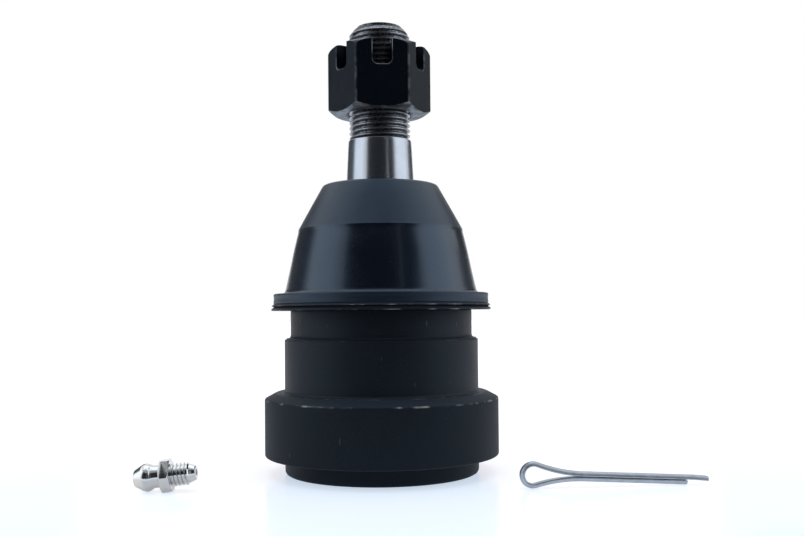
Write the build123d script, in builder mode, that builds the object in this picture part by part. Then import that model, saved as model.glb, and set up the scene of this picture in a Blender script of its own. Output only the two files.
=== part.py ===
from build123d import *
import os
from math import acos, asin, atan, cos, degrees, radians, sin, sqrt, tan

# Suspension ball joint: a stud that swings and turns in a steel housing, which is pressed
# into a control arm up to its collar. Millimetres. The origin is the centre of the rim that
# the joint stands on, and +Z runs up the stud. The castle nut is on the stud's thread, and
# the grease fitting and the cotter pin lie loose beside the joint, as it comes in its box.

os.makedirs("parts", exist_ok=True)

# ---- Clearances -------------------------------------------------------------------------
running_gap = 0.05       # radial, between a surface that turns and its seat
seat_gap = 0.05          # radial, between a piece that stays put and its bore
throat_gap = 0.5         # between the swung stud and the mouth of the housing
cut_past = 1.0           # how far a cut runs on past the metal

# ---- Housing, outside -------------------------------------------------------------------
foot_r = 27.8            # rolled rim under the collar
foot_h = 5.2
foot_round = 1.3
collar_r = 33.5          # stop collar
collar_h = 18.0
collar_chamfer_w = 3.4
collar_chamfer_h = 1.8
shoulder_fillet = 0.8
barrel_r = 27.8          # press fit in the control arm
barrel_h = 15.3
barrel_edge = 0.35
neck_r = 26.05
neck_h = 7.9
neck_fillet = 1.1
relief_w = 0.3           # undercut between barrel and neck
relief_depth = 0.5
spigot_step = 1.65       # the spigot that carries the boot ring is narrower than the neck
spigot_h = 4.0

# ---- Ball, bearings, spring and cover ---------------------------------------------------
ball_r = 16.5
ball_flat = 0.8          # sliced off the bottom of the ball, for grease
race_wall = 3.45         # bearing wall at the ball's widest
race_top = 8.0           # bearing and shoulder end this far above the ball's centre
equator_gap = 1.0        # between the upper bearing and the pressure cup
cup_floor = 2.95         # pressure cup under the ball
grease_hole_r = 1.6      # through the pressure cup
spring_side_gap = 1.55   # around the preload disc spring
spring_inner_r = 8.0
spring_t = 1.2
spring_h = 2.4
cover_r = 22.3
cover_t = 2.8
lip_t = 1.8              # housing rim rolled over the cover
lip_overlap = 2.1
boss_r = 5.5             # boss inside the cover, around the grease port
boss_h = 2.0

# ---- Swing ------------------------------------------------------------------------------
swing_limit = 18.0       # degrees each way about X and about Y

# ---- Boot -------------------------------------------------------------------------------
ring_r = 31.5            # steel ring, pressed on the spigot
ring_t = 1.9
ring_leg_t = 1.1
ring_leg_h = 3.6
ring_notch = 0.7         # depth of the notch round the rim
ring_notch_from = 0.3    # the notch's foot, middle and top, as shares of the ring's thickness
ring_notch_at = 0.5
ring_notch_to = 0.7
flange_step = 0.5        # rubber band on the ring, narrower than the ring
flange_h = 2.9
flange_hollow = 0.25
skirt_foot_wall = 2.1    # rubber outside the ring's leg
skirt_h = 18.3
crease_r = 23.7
cone_h = 12.9
cone_top_r = 16.5
cone_round = 1.0
boot_wall = 2.4
boot_lip_h = 4.0

# ---- Stud -------------------------------------------------------------------------------
stud_neck_r = 8.4
stud_neck_fillet = 3.0
stud_flare_h = 14.0      # from neck to boot seat
stud_seat_r = 9.77       # where the boot seals
stud_seat_h = 6.4
taper_h = 11.0
taper_rate = 0.05        # radius lost per millimetre: a taper of 1 in 10
taper_end_h = 1.9
taper_end_step = 0.3     # the taper's end stands this far outside the thread
thread_r = 8.8           # M18 x 1.5, over its rounded crests
thread_pitch = 1.5
thread_h = 33.3
thread_stop_h = 1.4      # from the last ridge to the stud's end
stud_end_bevel = 2.4
stud_end_h = 2.9
centre_hole_r = 2.0      # turning centre in the stud's end
centre_hole_angle = 60
centre_drill_r = 0.8
centre_drill_h = 4.0
cotter_hole_r = 2.0

# ---- Castle nut -------------------------------------------------------------------------
nut_across_flats = 26.0
nut_h = 19.4
nut_gap = 7.7            # from the taper's end to the nut
nut_bottom_bevel = 1.96
nut_bottom_h = 1.4
nut_top_bevel = 2.31
nut_top_h = 2.9
slot_w = 5.5
slot_depth = 7.6
slot_round = 1.6
nut_lead_in = 0.9
nut_turn = 5.0           # degrees, from one flat square to the front

# ---- Cotter pin -------------------------------------------------------------------------
pin_x, pin_y = 39.4, -29.5      # below the centre of its eye
pin_turn = 5.5                  # degrees from +X, seen from above
pin_wire_r = 1.25               # half-round wire
pin_leg_gap = 0.14
pin_eye_r = 2.25
pin_eye_blend = 40.0
pin_short_leg = 41.0            # from the centre of the eye
pin_long_leg = 46.7
pin_tip_bend_r = 60.0
pin_tip_bend = 5.0              # degrees

# ---- Grease fitting ---------------------------------------------------------------------
fitting_x, fitting_y = -63.2, -29.5      # the tip of its nozzle
nozzle_r = 2.1
bulge_at = 3.3                  # from the tip to the widest place of the head
bulge_r = 3.65
bulge_half_w = 0.85
bulge_round = 0.2
bulge_fall_w = 1.6              # from the widest place of the head to the neck
fitting_neck_r = 2.9
fitting_hex_at = 6.9
fitting_hex_h = 2.7
fitting_hex_bevel = 0.35
fitting_across_flats = 8.0
fitting_thread_r = 3.0          # M6 x 1
fitting_pitch = 1.0
fitting_turns = 5
fitting_end_h = 1.4
fitting_end_r = 1.8
orifice_r = 0.9
check_ball_r = 1.4
chamber_at = 1.2                # from the tip: where the orifice opens into the chamber
check_side_gap = 0.1            # around the check ball
chamber_end = 12.5              # from the tip
outlet_r = 0.8
check_spring_r = 1.1
check_wire_r = 0.18
check_coils = 5

# ---- Levels, worked out from the sizes --------------------------------------------------
shoulder_z = foot_h + collar_h
barrel_top_z = shoulder_z + barrel_h
neck_top_z = barrel_top_z + neck_h
spigot_top_z = neck_top_z + spigot_h
cover_top_z = lip_t + cover_t
cup_bottom_z = cover_top_z + spring_h
seat_r = ball_r + running_gap
ball_z = cup_bottom_z + cup_floor + seat_r
race_r = seat_r + race_wall
race_top_z = ball_z + race_top
flange_z = neck_top_z + ring_t
skirt_z = flange_z + flange_h
crease_z = skirt_z + skirt_h
boot_top_z = crease_z + cone_h
taper_top_z = boot_top_z + taper_h
thread_z = taper_top_z + taper_end_h
stud_top_z = thread_z + thread_h
spigot_r = neck_r - spigot_step
flange_r = ring_r - flange_step
nut_z = thread_z + nut_gap
nut_top_z = nut_z + nut_h
slot_floor_z = nut_top_z - slot_depth
cotter_hole_z = nut_top_z - slot_depth / 2
cotter_hole_turn = nut_turn + 30        # from +X, through a pair of the nut's slots

flank = 0.354            # share of the pitch that each side of a 60-degree thread takes
crest = 0.125
depth = 0.6134


def thread_outline(major_r, pitch, start, turns):
    """Points (radius, height) of a 60-degree thread of separate ridges."""
    root_r = major_r - depth * pitch
    points = []
    for turn in range(turns):
        foot = start + turn * pitch
        points += [
            (root_r, foot),
            (major_r, foot + flank * pitch),
            (major_r, foot + (flank + crest) * pitch),
            (root_r, foot + (2 * flank + crest) * pitch),
        ]
    return points


def circle_at(edges, radius, height):
    """The circular edge of this radius at this height."""
    return [
        edge
        for edge in edges
        if abs(edge.radius - radius) < 0.001 and abs(edge.arc_center.Z - height) < 0.001
    ]


# ---- Housing ----------------------------------------------------------------------------
swing_reach = degrees(acos(cos(radians(swing_limit)) ** 2))
race_opening_r = sqrt(seat_r**2 - race_top**2)
throat_foot_r = race_opening_r + throat_gap
throat_top_r = (
    (spigot_top_z - ball_z) * tan(radians(swing_reach))
    + stud_neck_r / cos(radians(swing_reach))
    + throat_gap
)
bore_r = race_r + seat_gap
spring_outer_r = bore_r - spring_side_gap
cover_bore_r = cover_r + seat_gap
lip_r = cover_bore_r - lip_overlap
relief_z = barrel_top_z - relief_w

with BuildPart() as housing:
    with BuildSketch(Plane.XZ):
        with BuildLine():
            Polyline(
                (lip_r, 0),
                (foot_r, 0),
                (foot_r, foot_h),
                (collar_r, foot_h),
                (collar_r, shoulder_z - collar_chamfer_h),
                (collar_r - collar_chamfer_w, shoulder_z),
                (barrel_r, shoulder_z),
                (barrel_r, relief_z),
                (barrel_r - relief_depth, relief_z),
                (barrel_r - relief_depth, barrel_top_z),
                (neck_r, barrel_top_z),
                (neck_r, neck_top_z),
                (spigot_r, neck_top_z),
                (spigot_r, spigot_top_z),
                (throat_top_r, spigot_top_z),
                (throat_foot_r, race_top_z),
                (bore_r, race_top_z),
                (bore_r, cover_top_z),
                (cover_bore_r, cover_top_z),
                (cover_bore_r, lip_t),
                (lip_r, lip_t),
                close=True,
            )
        make_face()
    revolve(axis=Axis.Z)
    rings = housing.edges().filter_by(GeomType.CIRCLE)
    fillet(circle_at(rings, neck_r, barrel_top_z), neck_fillet)
    fillet(circle_at(rings, barrel_r, shoulder_z), shoulder_fillet)
    fillet(circle_at(rings, foot_r, 0), foot_round)
    chamfer(circle_at(rings, barrel_r, relief_z), barrel_edge)
housing.part.label = "housing"
export_step(housing.part, "parts/housing.step")

# ---- Cover plate, with the threaded port for the grease fitting -------------------------
port_r = fitting_thread_r - depth * fitting_pitch + running_gap
with BuildPart() as cover_plate:
    with BuildSketch(Plane.XY.offset(lip_t)):
        Circle(cover_r)
    extrude(amount=cover_t)
    with BuildSketch(Plane.XY.offset(cover_top_z)):
        Circle(boss_r)
    extrude(amount=boss_h)
    with BuildSketch(Plane.XY.offset(lip_t)):
        Circle(port_r)
    extrude(amount=cover_t + boss_h, mode=Mode.SUBTRACT)
cover_plate.part.label = "cover_plate"
export_step(cover_plate.part, "parts/cover_plate.step")

# ---- Preload spring: a disc spring between the cover and the pressure cup ---------------
with BuildPart() as preload_spring:
    with BuildSketch(Plane.XZ):
        with BuildLine():
            Polyline(
                (spring_inner_r, cup_bottom_z - spring_t),
                (spring_outer_r, cover_top_z),
                (spring_outer_r, cover_top_z + spring_t),
                (spring_inner_r, cup_bottom_z),
                close=True,
            )
        make_face()
    revolve(axis=Axis.Z)
preload_spring.part.label = "preload_spring"
export_step(preload_spring.part, "parts/preload_spring.step")

# ---- Pressure cup: the lower half of the ball's seat ------------------------------------
cup_top_z = ball_z - equator_gap / 2
with BuildPart() as pressure_cup:
    with BuildSketch(Plane.XY.offset(cup_bottom_z)):
        Circle(race_r)
        Circle(grease_hole_r, mode=Mode.SUBTRACT)
    extrude(amount=cup_top_z - cup_bottom_z)
    with Locations((0, 0, ball_z)):
        Sphere(seat_r, mode=Mode.SUBTRACT)
pressure_cup.part.label = "pressure_cup"
export_step(pressure_cup.part, "parts/pressure_cup.step")

# ---- Upper bearing: the ring that keeps the ball in -------------------------------------
race_foot_z = ball_z + equator_gap / 2
with BuildPart() as upper_bearing:
    with BuildSketch(Plane.XY.offset(race_foot_z)):
        Circle(race_r)
    extrude(amount=race_top_z - race_foot_z)
    with Locations((0, 0, ball_z)):
        Sphere(seat_r, mode=Mode.SUBTRACT)
upper_bearing.part.label = "upper_bearing"
export_step(upper_bearing.part, "parts/upper_bearing.step")

# ---- Boot ring: steel, pressed on the spigot, with a notched rim ------------------------
ring_bore_r = spigot_r + seat_gap
ring_leg_r = ring_bore_r + ring_leg_t
with BuildPart() as boot_ring:
    with BuildSketch(Plane.XZ):
        with BuildLine():
            Polyline(
                (ring_bore_r, neck_top_z),
                (ring_r, neck_top_z),
                (ring_r, neck_top_z + ring_notch_from * ring_t),
                (ring_r - ring_notch, neck_top_z + ring_notch_at * ring_t),
                (ring_r, neck_top_z + ring_notch_to * ring_t),
                (ring_r - ring_notch, flange_z),
                (ring_leg_r, flange_z),
                (ring_leg_r, neck_top_z + ring_leg_h),
                (ring_bore_r, neck_top_z + ring_leg_h),
                close=True,
            )
        make_face()
    revolve(axis=Axis.Z)
boot_ring.part.label = "boot_ring"
export_step(boot_ring.part, "parts/boot_ring.step")

# ---- Boot, lower half: the flange that is moulded to the ring, and the skirt ------------
skirt_bore_r = ring_leg_r + seat_gap
skirt_bottom_r = skirt_bore_r + skirt_foot_wall
with BuildPart() as boot_skirt:
    with BuildSketch(Plane.XZ):
        with BuildLine():
            ThreePointArc(
                (flange_r, flange_z),
                (flange_r - flange_hollow, (flange_z + skirt_z) / 2),
                (flange_r, skirt_z),
            )
            Polyline(
                (flange_r, skirt_z),
                (skirt_bottom_r, skirt_z),
                (crease_r, crease_z),
                (crease_r - boot_wall, crease_z),
                (skirt_bore_r, skirt_z),
                (skirt_bore_r, flange_z),
                (flange_r, flange_z),
            )
        make_face()
    revolve(axis=Axis.Z)
boot_skirt.part.label = "boot_skirt"
export_step(boot_skirt.part, "parts/boot_skirt.step")

# ---- Boot, upper half: the cone and the lip that seals on the stud ----------------------
boot_lip_r = stud_seat_r + running_gap
lip_z = boot_top_z - boot_lip_h
lip_wall_r = cone_top_r + (crease_r - cone_top_r) * boot_lip_h / cone_h - boot_wall
with BuildPart() as boot_cone:
    with BuildSketch(Plane.XZ):
        with BuildLine():
            Polyline(
                (crease_r, crease_z),
                (cone_top_r, boot_top_z),
                (boot_lip_r, boot_top_z),
                (boot_lip_r, lip_z),
                (lip_wall_r, lip_z),
                (crease_r - boot_wall, crease_z),
                close=True,
            )
        make_face()
    revolve(axis=Axis.Z)
    top_rings = boot_cone.edges().filter_by(GeomType.CIRCLE)
    fillet(circle_at(top_rings, cone_top_r, boot_top_z), cone_round)
boot_cone.part.label = "boot_cone"
export_step(boot_cone.part, "parts/boot_cone.step")

# ---- Ball stud --------------------------------------------------------------------------
stud_seat_z = boot_top_z - stud_seat_h
stud_flare_z = stud_seat_z - stud_flare_h
taper_r = stud_seat_r - taper_rate * taper_h
taper_end_r = thread_r + taper_end_step
stud_end_r = thread_r - stud_end_bevel
thread_root_r = thread_r - depth * thread_pitch
full_turns = int((thread_h - thread_stop_h) / thread_pitch)
with BuildPart() as ball_stud:
    with BuildSketch(Plane.XZ):
        with BuildLine():
            Polyline(
                (0, ball_z),
                (stud_neck_r, ball_z),
                (stud_neck_r, stud_flare_z),
                (stud_seat_r, stud_seat_z),
                (stud_seat_r, boot_top_z),
                (taper_r, taper_top_z),
                (taper_end_r, thread_z),
                *thread_outline(thread_r, thread_pitch, thread_z, full_turns),
                (thread_root_r, stud_top_z),
                (0, stud_top_z),
                close=True,
            )
        make_face()
    revolve(axis=Axis.Z)
    with Locations((0, 0, ball_z)):
        Sphere(ball_r)
    neck_foot_z = ball_z + sqrt(ball_r**2 - stud_neck_r**2)
    stud_rings = ball_stud.edges().filter_by(GeomType.CIRCLE)
    fillet(circle_at(stud_rings, stud_neck_r, neck_foot_z), stud_neck_fillet)
    with BuildSketch(Plane.XY.offset(ball_z - ball_r)):
        Circle(ball_r)
    extrude(amount=ball_flat, mode=Mode.SUBTRACT)
    with BuildSketch(Plane.XZ):
        with BuildLine():
            Polyline(
                (stud_end_r, stud_top_z),
                (thread_r + cut_past, stud_top_z),
                (thread_r + cut_past, stud_top_z - stud_end_h),
                (thread_r, stud_top_z - stud_end_h),
                close=True,
            )
        make_face()
    revolve(axis=Axis.Z, mode=Mode.SUBTRACT)
    with Locations(Plane.XY.offset(stud_top_z)):
        CounterSinkHole(centre_drill_r, centre_hole_r, centre_drill_h, centre_hole_angle)
    hole_way = Vector(cos(radians(cotter_hole_turn)), sin(radians(cotter_hole_turn)), 0)
    with BuildSketch(Plane(origin=(0, 0, cotter_hole_z), z_dir=hole_way)):
        Circle(cotter_hole_r)
    extrude(amount=thread_r + cut_past, both=True, mode=Mode.SUBTRACT)
ball_stud.part.label = "ball_stud"
export_step(ball_stud.part, "parts/ball_stud.step")

# ---- Castle nut -------------------------------------------------------------------------
nut_corner_r = nut_across_flats / 2 / cos(radians(30))
nut_bore_r = thread_r + running_gap
nut_bottom_r = nut_corner_r - nut_bottom_bevel
nut_top_r = nut_corner_r - nut_top_bevel
with BuildPart() as castle_nut:
    with BuildSketch(Plane.XY.offset(nut_z)):
        RegularPolygon(nut_across_flats / 2, 6, major_radius=False, rotation=nut_turn)
    extrude(amount=nut_h)
    with BuildSketch(Plane.XZ):
        with BuildLine():
            Polyline(
                (nut_corner_r, nut_top_z - nut_top_h),
                (nut_corner_r, nut_z + nut_bottom_h),
                (nut_bottom_r, nut_z),
                (nut_bore_r + nut_lead_in, nut_z),
                (nut_bore_r, nut_z + nut_lead_in),
                (nut_bore_r, nut_top_z - nut_lead_in),
                (nut_bore_r + nut_lead_in, nut_top_z),
                (nut_top_r, nut_top_z),
            )
            RadiusArc((nut_top_r, nut_top_z), (nut_corner_r, nut_top_z - nut_top_h), nut_top_h)
        make_face()
    revolve(axis=Axis.Z, mode=Mode.INTERSECT)
    for turn in (nut_turn, nut_turn + 60, nut_turn + 120):
        slot_way = Vector(sin(radians(turn)), -cos(radians(turn)), 0)
        slot_across = (cos(radians(turn)), sin(radians(turn)), 0)
        with BuildSketch(Plane((0, 0, slot_floor_z), x_dir=slot_across, z_dir=slot_way)):
            with Locations((0, slot_depth)):
                RectangleRounded(slot_w, 2 * slot_depth, slot_round)
        extrude(amount=nut_across_flats, both=True, mode=Mode.SUBTRACT)
castle_nut.part.label = "castle_nut"
export_step(castle_nut.part, "parts/castle_nut.step")

# ---- Cotter pin: half-round wire, bent round to an eye and two legs ---------------------
pin_leg_y = pin_leg_gap / 2
blend_x = sqrt((pin_eye_r + pin_eye_blend) ** 2 - (pin_leg_y + pin_eye_blend) ** 2)
touch_angle = degrees(asin((pin_leg_y + pin_eye_blend) / (pin_eye_r + pin_eye_blend)))
eye_outer_r = pin_eye_r + pin_wire_r
pin_drop = asin((pin_eye_r - pin_leg_y) / pin_short_leg)
tip_length = pin_tip_bend_r * sin(radians(pin_tip_bend))
pin_yaw = radians(pin_turn)
pin_side = Vector(sin(pin_yaw), -cos(pin_yaw), 0)
pin_way = pin_side.cross(Vector(0, 0, -1)) * cos(pin_drop) - Vector(0, 0, sin(pin_drop))
pin_plane = Plane(origin=(pin_x, pin_y, eye_outer_r), x_dir=pin_way, z_dir=pin_side)
with BuildPart() as cotter_pin:
    with BuildLine(pin_plane) as pin_path:
        bent_tip = CenterArc(
            (pin_long_leg - tip_length, pin_leg_y - pin_tip_bend_r),
            pin_tip_bend_r, 90 - pin_tip_bend, pin_tip_bend,
        )
        Line((pin_long_leg - tip_length, pin_leg_y), (blend_x, pin_leg_y))
        RadiusArc(
            (blend_x, pin_leg_y),
            (pin_eye_r * cos(radians(touch_angle)), pin_eye_r * sin(radians(touch_angle))),
            pin_eye_blend,
        )
        CenterArc((0, 0), pin_eye_r, touch_angle, 360 - 2 * touch_angle)
        RadiusArc(
            (pin_eye_r * cos(radians(touch_angle)), -pin_eye_r * sin(radians(touch_angle))),
            (blend_x, -pin_leg_y),
            pin_eye_blend,
        )
        Line((blend_x, -pin_leg_y), (pin_short_leg, -pin_leg_y))
    tip_way = bent_tip % 0
    leg_end = Plane(origin=bent_tip @ 0, x_dir=tip_way.cross(pin_side), z_dir=tip_way)
    with BuildSketch(leg_end):
        Circle(pin_wire_r)
        with Locations((-pin_wire_r, 0)):
            Rectangle(2 * pin_wire_r, 2 * pin_wire_r, mode=Mode.SUBTRACT)
    sweep(path=pin_path.line)
cotter_pin.part.label = "cotter_pin"
export_step(cotter_pin.part, "parts/cotter_pin.step")

# ---- Grease fitting: it lies on its head and on one flat of its hexagon -----------------
flat_r = fitting_across_flats / 2
hex_corner_w = flat_r / cos(radians(30)) - flat_r
tilt = atan((flat_r - bulge_r) / (fitting_hex_at - bulge_at))
fitting_tip = Vector(fitting_x, fitting_y, bulge_r * cos(tilt) - bulge_at * sin(tilt))
fitting_way = Vector(cos(tilt), 0, sin(tilt))
fitting_axis = Axis(fitting_tip, fitting_way)
fitting_plane = Plane(origin=fitting_tip, x_dir=fitting_way, z_dir=(0, -1, 0))
fitting_thread_at = fitting_hex_at + fitting_hex_h
fitting_thread_end = fitting_thread_at + fitting_turns * fitting_pitch
fitting_length = fitting_thread_end + fitting_end_h
fitting_root_r = fitting_thread_r - depth * fitting_pitch
bulge_from = bulge_at - bulge_half_w
bulge_to = bulge_at + bulge_half_w
bulge_side_r = bulge_r - bulge_round
chamber_r = check_ball_r + check_side_gap
check_ball_at = chamber_at + sqrt(check_ball_r**2 - orifice_r**2)
fitting_ridges = [
    (along, radius)
    for radius, along in thread_outline(
        fitting_thread_r, fitting_pitch, fitting_thread_at, fitting_turns
    )
]
with BuildPart() as grease_fitting:
    with BuildSketch(fitting_plane):
        with BuildLine():
            Polyline((fitting_length, 0), (0, 0), (0, nozzle_r), (bulge_from, bulge_side_r))
            ThreePointArc(
                (bulge_from, bulge_side_r), (bulge_at, bulge_r), (bulge_to, bulge_side_r)
            )
            Polyline(
                (bulge_to, bulge_side_r),
                (bulge_at + bulge_fall_w, fitting_neck_r),
                (fitting_hex_at, fitting_neck_r),
                *fitting_ridges,
                (fitting_thread_end, fitting_root_r),
                (fitting_length, fitting_end_r),
                (fitting_length, 0),
            )
        make_face()
    revolve(axis=fitting_axis)
    with BuildSketch(
        Plane(origin=fitting_tip + fitting_way * fitting_hex_at, x_dir=(0, 1, 0),
              z_dir=fitting_way)
    ):
        RegularPolygon(flat_r, 6, major_radius=False)
    extrude(amount=fitting_hex_h)
    for face_at, inward in ((fitting_hex_at, 1), (fitting_thread_at, -1)):
        with BuildSketch(fitting_plane):
            with BuildLine():
                Polyline(
                    (face_at, flat_r),
                    (face_at, 2 * flat_r),
                    (face_at + inward * fitting_hex_bevel * flat_r / hex_corner_w, 2 * flat_r),
                    close=True,
                )
            make_face()
        revolve(axis=fitting_axis, mode=Mode.SUBTRACT)
    with BuildSketch(fitting_plane):
        with BuildLine():
            Polyline(
                (-cut_past, 0),
                (-cut_past, orifice_r),
                (chamber_at, orifice_r),
                (chamber_at, chamber_r),
                (chamber_end, chamber_r),
                (chamber_end, outlet_r),
                (fitting_length + cut_past, outlet_r),
                (fitting_length + cut_past, 0),
                close=True,
            )
        make_face()
    revolve(axis=fitting_axis, mode=Mode.SUBTRACT)
grease_fitting.part.label = "grease_fitting"
export_step(grease_fitting.part, "parts/grease_fitting.step")

# ---- Check ball, held against the orifice by its spring ---------------------------------
with BuildPart() as check_ball:
    with Locations(fitting_tip + fitting_way * check_ball_at):
        Sphere(check_ball_r)
check_ball.part.label = "check_ball"
export_step(check_ball.part, "parts/check_ball.step")

# ---- Check spring, from the ball to the end of the chamber ------------------------------
spring_from = check_ball_at + sqrt(check_ball_r**2 - check_spring_r**2) + 2 * check_wire_r
spring_length = chamber_end - check_wire_r - spring_from
with BuildPart() as check_spring:
    with BuildLine() as coil:
        Helix(
            pitch=spring_length / check_coils,
            height=spring_length,
            radius=check_spring_r,
            center=fitting_tip + fitting_way * spring_from,
            direction=fitting_way,
        )
    with BuildSketch(Plane(origin=coil.line @ 0, z_dir=coil.line % 0)):
        Circle(check_wire_r)
    sweep(path=coil.line, is_frenet=True)
check_spring.part.label = "check_spring"
export_step(check_spring.part, "parts/check_spring.step")
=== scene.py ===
# %% [markdown]
# A suspension ball joint, ready to be shown on a plain floor. Its measured solids are loaded
# first and stay where they are: every new piece is modelled to the same places, in metres, and
# rides on the same moving bodies. Sizes in this lesson are written in millimetres, as on a
# drawing, and the factor MM turns them into metres.

# %% Load the frame
from math import asin, atan, atan2, cos, degrees, pi, radians, sin, sqrt

import bpy
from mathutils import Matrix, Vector


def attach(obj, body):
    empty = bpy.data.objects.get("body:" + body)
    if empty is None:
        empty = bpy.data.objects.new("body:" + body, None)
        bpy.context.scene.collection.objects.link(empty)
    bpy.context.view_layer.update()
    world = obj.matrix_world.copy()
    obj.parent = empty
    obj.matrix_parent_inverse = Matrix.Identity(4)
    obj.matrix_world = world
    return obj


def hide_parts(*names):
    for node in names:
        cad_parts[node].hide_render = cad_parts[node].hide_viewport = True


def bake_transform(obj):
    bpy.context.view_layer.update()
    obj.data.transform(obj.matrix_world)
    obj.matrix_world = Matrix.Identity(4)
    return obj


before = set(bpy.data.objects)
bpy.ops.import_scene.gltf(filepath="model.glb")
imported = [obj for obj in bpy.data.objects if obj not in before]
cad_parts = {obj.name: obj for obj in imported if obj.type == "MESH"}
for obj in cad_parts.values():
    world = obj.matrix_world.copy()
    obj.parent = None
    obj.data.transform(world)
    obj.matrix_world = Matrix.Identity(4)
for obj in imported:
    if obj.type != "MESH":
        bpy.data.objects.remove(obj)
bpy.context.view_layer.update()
MM = 0.001
CLOSE = 0.0005 * MM  # vertices nearer than this are merged
print("nodes:", ", ".join(sorted(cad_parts)))

# %% [markdown]
# Most of a ball joint is turned on a lathe, so most pieces start as an outline: a list of
# corners at a radius and a height. Real corners are never razor sharp, and a small rounding is
# what catches the light along an edge. A Bevel modifier could do it afterwards, but rounding the
# outline itself gives every corner its own radius and keeps the mesh in clean rings.

# %% Round the corners of an outline
def eased(*corners, steps=4):
    """Points of an outline; each corner is (radius, height) or (radius, height, rounding)."""
    points = []
    for place, corner in enumerate(corners):
        here = Vector(corner[:2])
        rounding = corner[2] if len(corner) > 2 else 0
        if not rounding:
            points.append(tuple(here))
            continue
        back = (Vector(corners[place - 1][:2]) - here).normalized() * rounding
        ahead = (Vector(corners[(place + 1) % len(corners)][:2]) - here).normalized() * rounding
        for step in range(steps + 1):
            share = step / steps
            points.append(tuple(here + back * (1 - share) ** 2 + ahead * share**2))
    return points


print("a square corner of 1 mm becomes", len(eased((0, 0), (5, 0, 1), (5, 5))) - 2, "points")

# %% [markdown]
# Blender's commands work on whatever is selected, just as they do by hand. A few helpers make
# that safe: one clears the selection, two open a piece for editing with all of it or only some
# of it selected, and one closes the piece again. Choosing by a test, such as all faces that
# look up, still finds the right faces after a size changes, which a list of numbers wouldn't.

# %% Select, edit and finish a piece
def deselect():
    """Leave edit mode with nothing selected."""
    if bpy.context.object and bpy.context.object.mode != "OBJECT":
        bpy.ops.object.mode_set(mode="OBJECT")
    bpy.ops.object.select_all(action="DESELECT")


def edit(mode="VERT"):
    """Edit the new piece with all of it selected."""
    bpy.ops.object.mode_set(mode="EDIT")
    bpy.ops.mesh.select_mode(type=mode)
    bpy.ops.mesh.select_all(action="SELECT")


def choose(kind, test):
    """Edit the new piece with only the vertices, edges or faces selected that pass a test."""
    piece = bpy.context.object
    edit(kind)
    bpy.ops.mesh.select_all(action="DESELECT")
    bpy.ops.object.mode_set(mode="OBJECT")
    kinds = {"VERT": "vertices", "EDGE": "edges", "FACE": "polygons"}
    for part in getattr(piece.data, kinds[kind]):
        part.select = test(part)
    bpy.ops.object.mode_set(mode="EDIT")


def finish_mesh(name, smooth=30):
    """Close doubles, point faces outwards, put the place in the mesh and smooth it."""
    edit()
    bpy.ops.mesh.remove_doubles(threshold=CLOSE)
    bpy.ops.mesh.normals_make_consistent(inside=False)
    bpy.ops.object.mode_set(mode="OBJECT")
    bpy.ops.object.transform_apply(location=True, rotation=True, scale=True)
    bpy.ops.object.shade_smooth_by_angle(angle=radians(smooth))
    piece = bpy.context.object
    piece.name = name
    return piece


def show(piece):
    """Print what was made."""
    print(piece.name, "has", len(piece.data.polygons), "faces")


print("helpers ready; vertices merge within", CLOSE / MM, "mm")

# %% [markdown]
# Turning means sweeping the outline round the axis. Spin would do it from a drawn line. Here a
# circle is extruded from ring to ring and resized each time, which works the same way by hand,
# and shows the shape growing. Where the outline comes back to its first point the two rings are
# merged into a closed shell, and otherwise the two ends are capped.

# %% Turn an outline on the lathe
ROUND = 128  # sides of a turned piece


def turned(name, outline, around=ROUND, capped=True):
    """A shape turned about Z from an outline of (radius, height) points in millimetres."""
    deselect()
    radius, height = outline[0]
    bpy.ops.mesh.primitive_circle_add(
        vertices=around, radius=radius * MM, location=(0, 0, height * MM)
    )
    edit()
    for next_radius, next_height in outline[1:]:
        bpy.ops.mesh.extrude_region_move(
            TRANSFORM_OT_translate={"value": (0, 0, (next_height - height) * MM)}
        )
        grow = next_radius / radius
        bpy.ops.transform.resize(
            value=(grow, grow, 1), center_override=(0, 0, next_height * MM)
        )
        radius, height = next_radius, next_height
    bpy.ops.mesh.select_all(action="SELECT")
    bpy.ops.mesh.remove_doubles(threshold=CLOSE)
    if capped:
        bpy.ops.mesh.select_all(action="DESELECT")
        bpy.ops.mesh.select_non_manifold()
        bpy.ops.mesh.fill_holes(sides=around)
    return finish_mesh(name)


print("the lathe turns in", ROUND, "sides")

# %% [markdown]
# The housing is forged, turned and coated. Its stop collar is the widest part, the smooth barrel
# above is pressed into the control arm, and the neck above that carries the boot. The solid's
# edges are sharp, so the housing is turned again with the same sizes and each corner eased by
# what the real edge has: half a millimetre on the forging, less on the machined barrel.

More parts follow.
